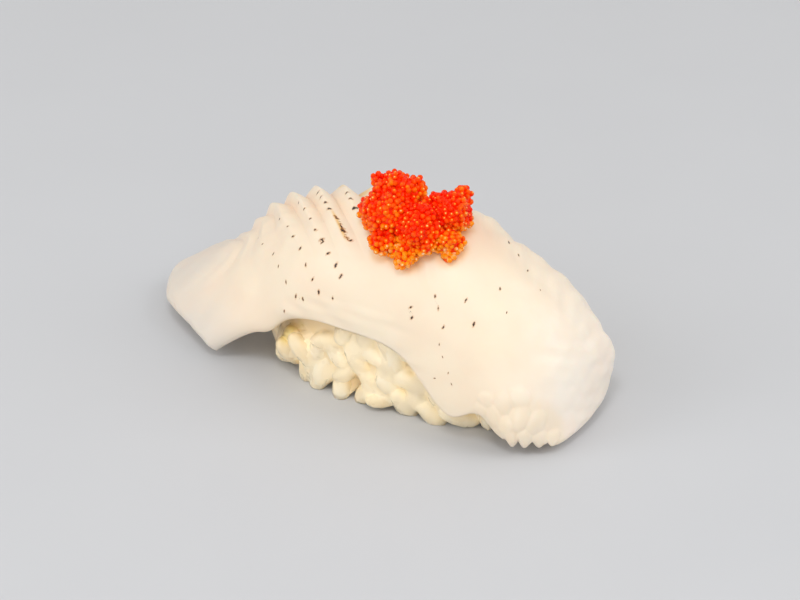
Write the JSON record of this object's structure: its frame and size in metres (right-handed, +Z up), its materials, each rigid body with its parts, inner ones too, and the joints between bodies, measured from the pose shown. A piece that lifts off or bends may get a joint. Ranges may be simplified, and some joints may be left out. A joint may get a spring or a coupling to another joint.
{
  "type": "squid nigiri",
  "caption": "Squid nigiri: a scored, lightly seared slice of squid draped over an oblong loaf of pressed rice, with a heap of orange roe on its crown.",
  "frame": {"origin": "middle of the whole part's box, on the surface that the rice stands on", "axes": "+Z up, +X along the loaf towards the slice's rounded heel, -Y towards the side where the rice shows"},
  "size_m": [0.0792, 0.0312, 0.0373],
  "materials": {
    "rice": "moist cooked short-grain rice, pale cream, a little glossy",
    "squid": "raw squid, milky and slightly see-through, satin, with scorched tips along the score cuts",
    "roe": "glossy wet fish eggs, orange red"
  },
  "bodies": {
    "root": {"rice": "rice", "squid": "squid", "roe": "roe"}
  },
  "joints": []
}
